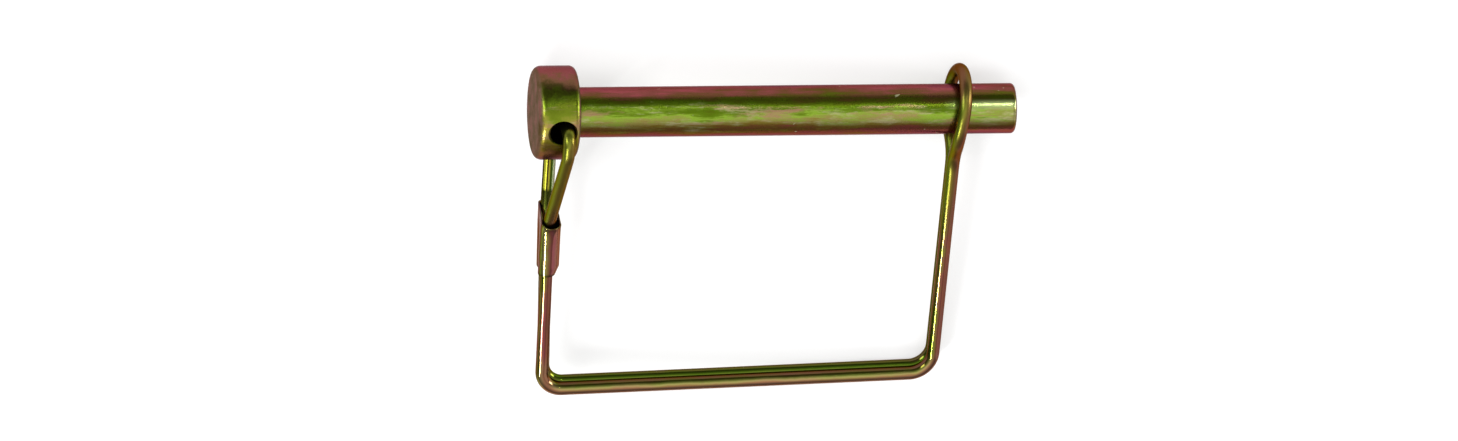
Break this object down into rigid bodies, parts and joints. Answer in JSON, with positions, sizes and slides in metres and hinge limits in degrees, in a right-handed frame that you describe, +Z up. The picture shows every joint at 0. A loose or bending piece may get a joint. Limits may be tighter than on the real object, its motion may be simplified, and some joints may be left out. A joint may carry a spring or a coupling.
{
  "type": "lynch pin",
  "caption": "Square wire lock pin: a drum-headed round pin with a spring wire bail that hinges in the head and snaps over the tip.",
  "frame": {"origin": "middle of the bounding box in X and Y, on the floor that the part lies on", "axes": "+X along the pin from the head to the tip as seen from above, +Y from the bail to the pin, +Z up"},
  "size_m": [0.0922, 0.0678, 0.0234],
  "materials": {
    "pin": "yellow zinc plate, iridescent",
    "wire_bail": "yellow zinc plate, iridescent",
    "ferrule": "yellow zinc plate, iridescent"
  },
  "bodies": {
    "pin_body": {"pin": "pin"},
    "bail_body": {"wire_bail": "wire_bail", "ferrule": "ferrule"}
  },
  "joints": [
    {"name": "bail_swing", "type": "hinge", "parent": "pin_body", "child": "bail_body", "pos_m": [-0.0402, 0.02502, 0.01197], "axis": [-0.0544, 0.0946, -0.994], "range_deg": [0, 240], "deforming": ["wire_bail"]}
  ]
}
